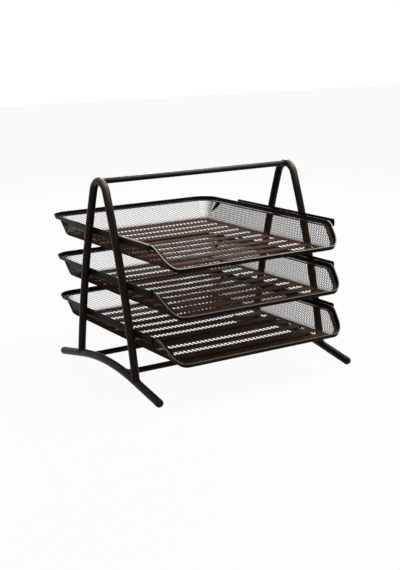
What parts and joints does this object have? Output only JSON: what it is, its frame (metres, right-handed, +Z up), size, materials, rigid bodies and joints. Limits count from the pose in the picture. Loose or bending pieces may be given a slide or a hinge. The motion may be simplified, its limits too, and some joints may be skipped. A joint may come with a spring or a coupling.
{
  "type": "three-tier document tray",
  "caption": "Free-standing desk tray: sliding trays of pressed mesh on angle rails, carried by tubular side arches with a handle bar and arched feet.",
  "frame": {"origin": "on the surface that the object stands on, under the middle of the whole object with its trays in", "axes": "+Z up, +Y from the open front of the trays to their back, +X to the right seen from the front"},
  "size_m": [0.3126, 0.359, 0.2742],
  "materials": {
    "frame_coating": "satin brown-black powder coat",
    "rim_coating": "satin brown-black powder coat",
    "basket_coating": "satin brown-black powder coat on expanded mesh",
    "foot_plug_plastic": "matt black"
  },
  "bodies": {
    "frame": {"left_arch": "frame_coating", "right_arch": "frame_coating", "left_foot": "frame_coating", "right_foot": "frame_coating", "front_left_foot_plug": "foot_plug_plastic", "front_right_foot_plug": "foot_plug_plastic", "rear_left_foot_plug": "foot_plug_plastic", "rear_right_foot_plug": "foot_plug_plastic", "handle_bar": "frame_coating", "front_cross_bar": "frame_coating", "rear_cross_bar": "frame_coating", "left_top_rail": "frame_coating", "right_top_rail": "frame_coating", "left_middle_rail": "frame_coating", "right_middle_rail": "frame_coating", "left_bottom_rail": "frame_coating", "right_bottom_rail": "frame_coating"},
    "top_tray": {"top_tray_basket": "basket_coating", "top_tray_rim": "rim_coating"},
    "middle_tray": {"middle_tray_basket": "basket_coating", "middle_tray_rim": "rim_coating"},
    "bottom_tray": {"bottom_tray_basket": "basket_coating", "bottom_tray_rim": "rim_coating"}
  },
  "joints": [
    {"name": "top_tray_slide", "type": "slide", "parent": "frame", "child": "top_tray", "axis": [0, -1, 0], "range_m": [0, 0.12]},
    {"name": "middle_tray_slide", "type": "slide", "parent": "frame", "child": "middle_tray", "axis": [0, -1, 0], "range_m": [-0.006, 0.114]},
    {"name": "bottom_tray_slide", "type": "slide", "parent": "frame", "child": "bottom_tray", "axis": [0, -1, 0], "range_m": [-0.009, 0.111]}
  ]
}
